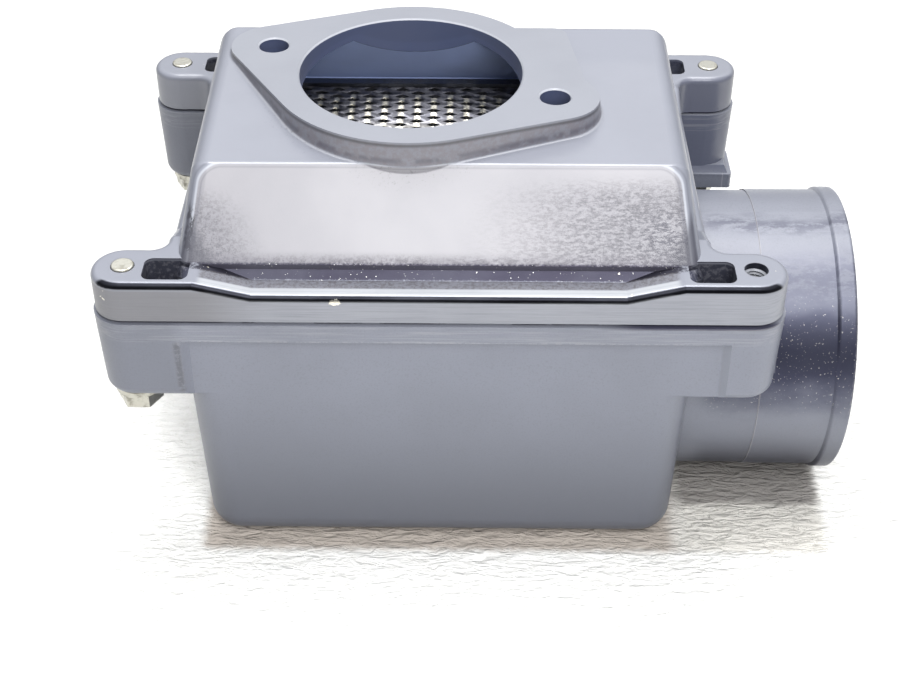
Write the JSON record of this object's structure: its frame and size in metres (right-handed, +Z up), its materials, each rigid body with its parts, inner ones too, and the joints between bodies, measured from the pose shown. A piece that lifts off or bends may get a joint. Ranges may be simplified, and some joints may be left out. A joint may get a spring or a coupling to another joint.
{
  "type": "air box",
  "caption": "Cast engine air box: hollow case split at a bolted flange, round hose pipe on one side, oval flange with a round bore on a sloping hood, expanded-metal screens inside.",
  "frame": {"origin": "on the base plane, at the centre of the rectangle of the four case bolts", "axes": "+Z up, square to the base and the joint; +X towards the hose pipe's mouth; -Y is the front that the picture shows"},
  "size_m": [0.1956, 0.1212, 0.1135],
  "materials": {
    "upper_paint": "semi-gloss black paint, scuffed",
    "lower_paint": "satin black paint, fine grain",
    "gasket": "matt",
    "frame_metal": "dull",
    "screen_metal": "bright, warm",
    "bolt_zinc": "zinc plated, worn",
    "washer_zinc": "zinc plated"
  },
  "bodies": {
    "root": {"upper_case": "upper_paint", "lower_case": "lower_paint", "joint_gasket": "gasket", "element_frame": "frame_metal", "upper_screen": "screen_metal", "lower_screen": "screen_metal", "front_left_bolt": "bolt_zinc", "rear_left_bolt": "bolt_zinc", "rear_right_bolt": "bolt_zinc", "front_left_washer": "washer_zinc", "rear_left_washer": "washer_zinc", "rear_right_washer": "washer_zinc"}
  },
  "joints": []
}
